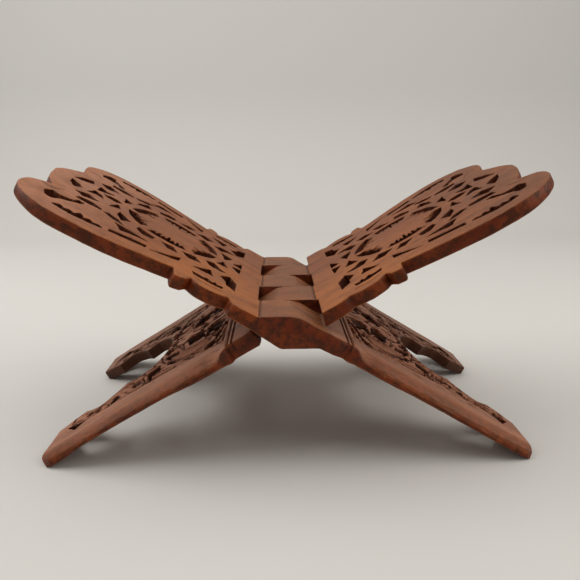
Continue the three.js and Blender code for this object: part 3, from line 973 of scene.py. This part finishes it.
def wood(name, leaf, light, dark, side, lobe_light_and_shade, offset):
    """Stained and waxed hardwood with its grain along s."""
    sh = Shader(name)
    coords, facing = plank_coordinates(sh, leaf, offset)
    grain = {
        "figure": sh.noise(coords, FIGURE_SCALE, detail=3, distortion=0.5),
        "fibre": sh.noise(coords, FIBRE_SCALE, detail=5, roughness=0.6),
        "pore": sh.spread(sh.noise(coords, PORE_SCALE, detail=2), 0.57, 0.68, 0, 0.6),
        "blotch": sh.noise(coords, BLOTCH_SCALE, detail=4),
        "scuff": sh.noise(coords, SCUFF_SCALE, detail=3),
        "mottle": sh.noise(coords, MOTTLE_SCALE, detail=5, roughness=0.65),
    }
    colour = face_colour(sh, grain, light, dark, side, lobe_light_and_shade)
    colour = edge_colour(sh, grain, facing, colour, side)
    rough = sh.math("ADD", sh.spread(grain["fibre"], 0.3, 0.7, 0.42, 0.58),
                    sh.math("MULTIPLY", grain["blotch"], 0.10))
    rough = sh.math("ADD", rough, sh.math("MULTIPLY", sh.attribute("carved"), 0.10))

    surface = sh.node("ShaderNodeBsdfPrincipled")
    surface.inputs["Specular IOR Level"].default_value = 0.25
    surface.inputs["Specular Tint"].default_value = (1.0, 0.80, 0.66, 1.0)
    surface.inputs["Coat Weight"].default_value = 0.04
    surface.inputs["Coat Roughness"].default_value = 0.3
    sh.link(colour, surface.inputs["Base Color"])
    sh.link(rough, surface.inputs["Roughness"])
    sh.link(grain_bump(sh, grain), surface.inputs["Normal"])
    out = sh.node("ShaderNodeOutputMaterial")
    sh.link(surface.outputs["BSDF"], out.inputs["Surface"])
    return sh.material


# ---------------------------------------------------------------- studio
FLOOR = {"near": -1.2, "back": 0.85, "turn": 0.35, "steps": 12, "height": 1.6, "half_width": 2.2}
WARM_WHITE = (1.0, 0.96, 0.90)
LAMP_AIM = (0, 0, 0.05)


def backdrop():
    """A pale floor that sweeps up behind into a wall."""
    back, turn, half = FLOOR["back"], FLOOR["turn"], FLOOR["half_width"]
    line = [(FLOOR["near"], 0.0), (back, 0.0)]
    for k in range(1, FLOOR["steps"] + 1):
        a = k / FLOOR["steps"] * math.pi / 2
        line.append((back + turn * math.sin(a), turn * (1 - math.cos(a))))
    line.append((back + turn, FLOOR["height"]))
    points = [(x, y, z) for y, z in line for x in (-half, half)]
    faces = [(2 * k, 2 * k + 1, 2 * k + 3, 2 * k + 2) for k in range(len(line) - 1)]
    mesh = bpy.data.meshes.new("floor")
    mesh.from_pydata(points, [], faces)
    mesh.shade_smooth()
    floor = bpy.data.objects.new("floor", mesh)
    bpy.context.scene.collection.objects.link(floor)
    sh = Shader("pale_floor")
    surface = sh.node("ShaderNodeBsdfPrincipled")
    surface.inputs["Base Color"].default_value = linear(206, 206, 205)
    surface.inputs["Roughness"].default_value = 0.7
    out = sh.node("ShaderNodeOutputMaterial")
    sh.link(surface.outputs["BSDF"], out.inputs["Surface"])
    mesh.materials.append(sh.material)


def soft_light(name, place, size, power, colour):
    """A rectangular area light in metres and watts, aimed at the middle of the stand."""
    data = bpy.data.lights.new(name, "AREA")
    data.shape = "RECTANGLE"
    data.size, data.size_y = size
    data.energy = power
    data.color = colour
    light = bpy.data.objects.new(name, data)
    light.location = place
    light.rotation_euler = (Vector(LAMP_AIM) - Vector(place)).to_track_quat("-Z", "Y").to_euler()
    bpy.context.scene.collection.objects.link(light)


def studio():
    """A dim warm surround and three soft lights."""
    world = bpy.data.worlds.new("studio")
    world.use_nodes = True
    world.node_tree.nodes["Background"].inputs["Color"].default_value = (*WARM_WHITE, 1)
    world.node_tree.nodes["Background"].inputs["Strength"].default_value = 0.30
    bpy.context.scene.world = world
    bpy.context.scene.view_settings.view_transform = "Standard"
    soft_light("window", place=(-0.9, 0.1, 1.0), size=(1.3, 0.9), power=10, colour=WARM_WHITE)
    soft_light("ceiling", place=(0.2, 0.3, 1.6), size=(1.8, 1.8), power=12, colour=(1.0, 0.95, 0.88))
    soft_light("lamp", place=(1.1, -0.3, 0.8), size=(0.9, 0.7), power=6, colour=(1.0, 0.94, 0.86))


# mm, degrees and mm of focal length
CAMERA = {"place": (-8.04, -449.52, 196.6), "yaw": 1.357, "pitch": 13.299, "roll": -0.331, "lens": 38.05}


def photo_camera():
    """The camera at the photograph's viewing angle: a little above, square to the hinge's end."""
    yaw, pitch, roll = (math.radians(CAMERA[k]) for k in ("yaw", "pitch", "roll"))
    ahead = Vector((math.sin(yaw) * math.cos(pitch), math.cos(yaw) * math.cos(pitch), -math.sin(pitch)))
    right = Vector((math.cos(yaw), -math.sin(yaw), 0))
    up = right.cross(ahead)
    across = math.cos(roll) * right + math.sin(roll) * up
    above = -math.sin(roll) * right + math.cos(roll) * up
    turn = Matrix((across, above, -ahead)).transposed().to_4x4()
    data = bpy.data.cameras.new("photo_camera")
    data.sensor_width = 36.0
    data.lens = CAMERA["lens"]
    camera = bpy.data.objects.new("photo_camera", data)
    camera.matrix_world = Matrix.Translation(Vector(CAMERA["place"]) * MM) @ turn
    bpy.context.scene.collection.objects.link(camera)
    bpy.context.scene.camera = camera


# ---------------------------------------------------------------- the scene
# The lobe colour is painted light on leaf A and painted shade on leaf B.
wood_a = wood("stained_wood_a", "leaf_a", light=linear(150, 88, 47), dark=linear(104, 54, 27),
              side=linear(100, 30, 5), lobe_light_and_shade=linear(186, 132, 104), offset=(0, 0, 0))
wood_b = wood("stained_wood_b", "leaf_b", light=linear(144, 83, 44), dark=linear(99, 51, 26),
              side=linear(95, 28, 5), lobe_light_and_shade=linear(102, 68, 49), offset=(0.7, 0.4, 0.2))
carved_leaf("leaf_a", seed=11, material=wood_a)
carved_leaf("leaf_b", seed=47, material=wood_b)
backdrop()
studio()
photo_camera()
